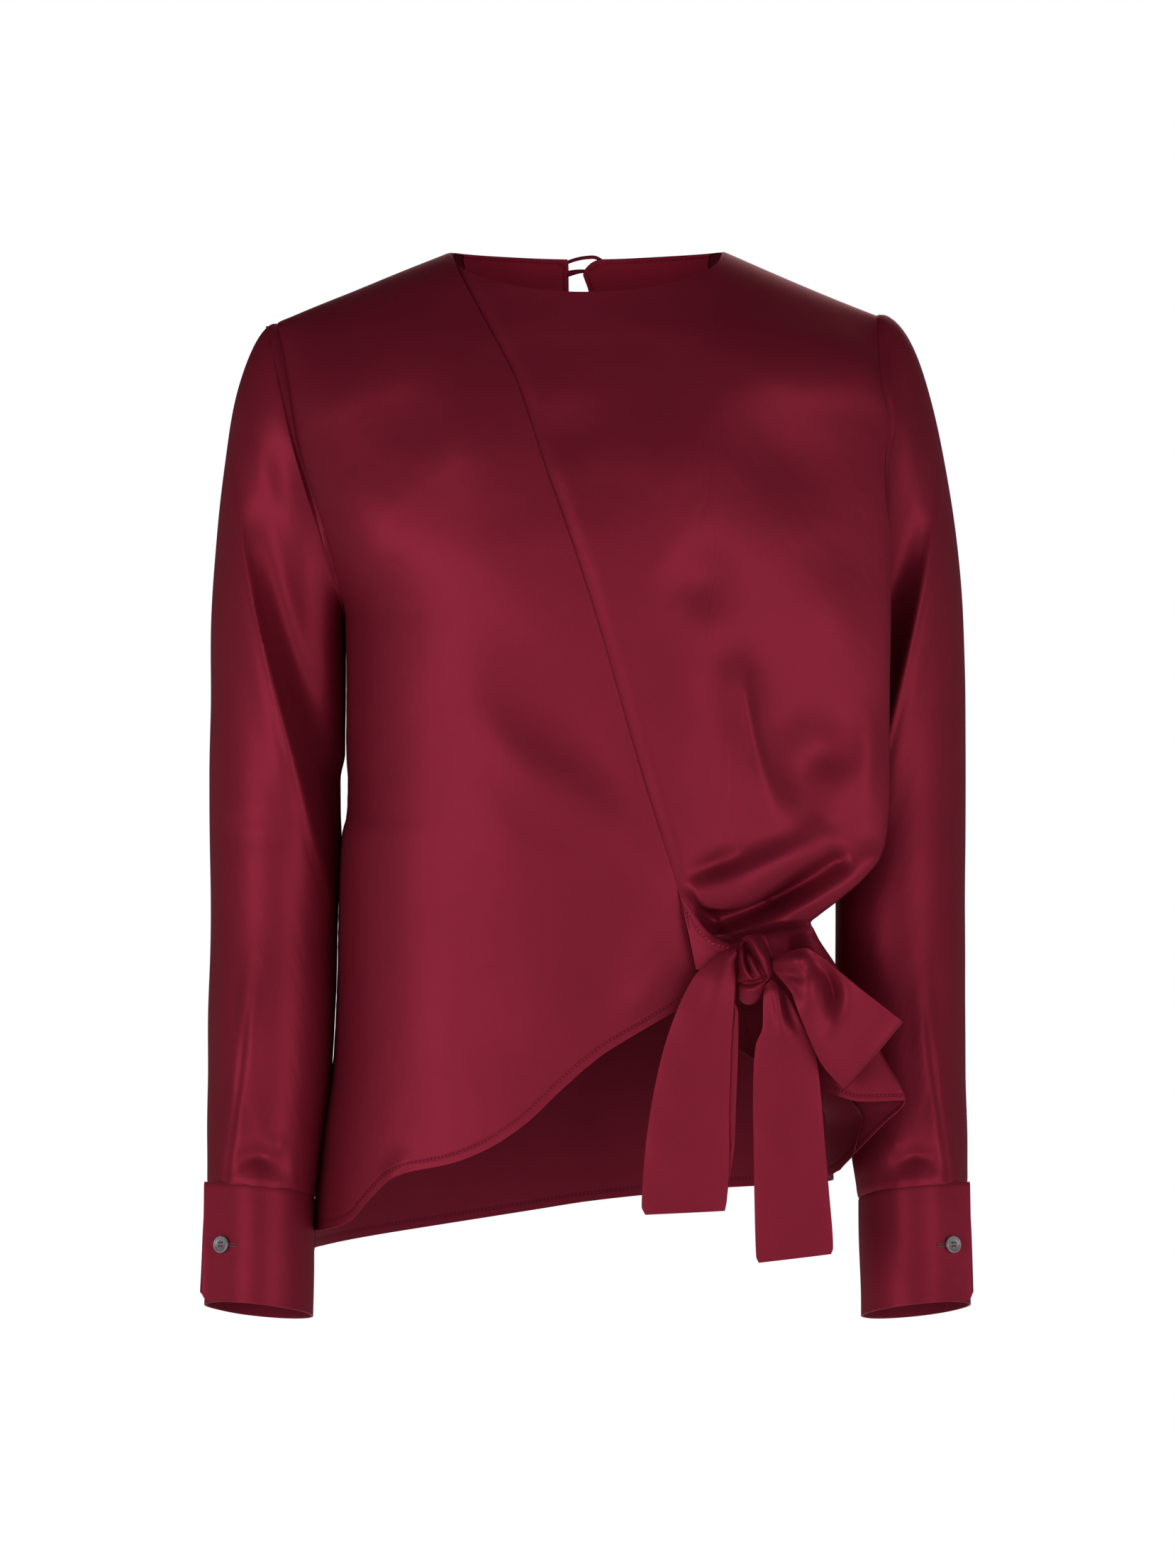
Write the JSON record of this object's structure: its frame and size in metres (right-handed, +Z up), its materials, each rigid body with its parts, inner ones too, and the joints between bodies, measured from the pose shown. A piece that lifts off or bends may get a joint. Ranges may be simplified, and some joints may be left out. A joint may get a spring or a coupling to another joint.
{
  "type": "wrap blouse",
  "caption": "Hollow satin blouse with a draped wrap front, long cuffed sleeves, round neck with a buttoned back slit, high-low hem and a knotted side tie with a hanging loop.",
  "frame": {"origin": "midway between the two neck points, where the neckline meets the shoulder seams", "axes": "+Z up, +X towards the wearer's left arm, -Y out of the front; the front faces -Y"},
  "size_m": [0.5084, 0.2532, 0.7077],
  "materials": {
    "satin": "burgundy satin, right side out, soft sheen",
    "satin_facing": "burgundy satin facing, darker inside the neck",
    "horn": "grey horn-effect resin, polished"
  },
  "bodies": {
    "root": {"front_right": "satin", "front_left": "satin", "back": "satin", "back_facing_right": "satin_facing", "back_facing_left": "satin_facing", "sleeve_right": "satin", "sleeve_left": "satin", "cuff_right": "satin", "cuff_left": "satin", "cuff_button_right": "horn", "cuff_button_left": "horn", "tie_strap": "satin", "tie_knot": "satin", "tie_loop": "satin", "tie_end_right": "satin", "tie_end_left": "satin", "neck_button": "horn", "neck_loop": "satin"}
  },
  "joints": []
}
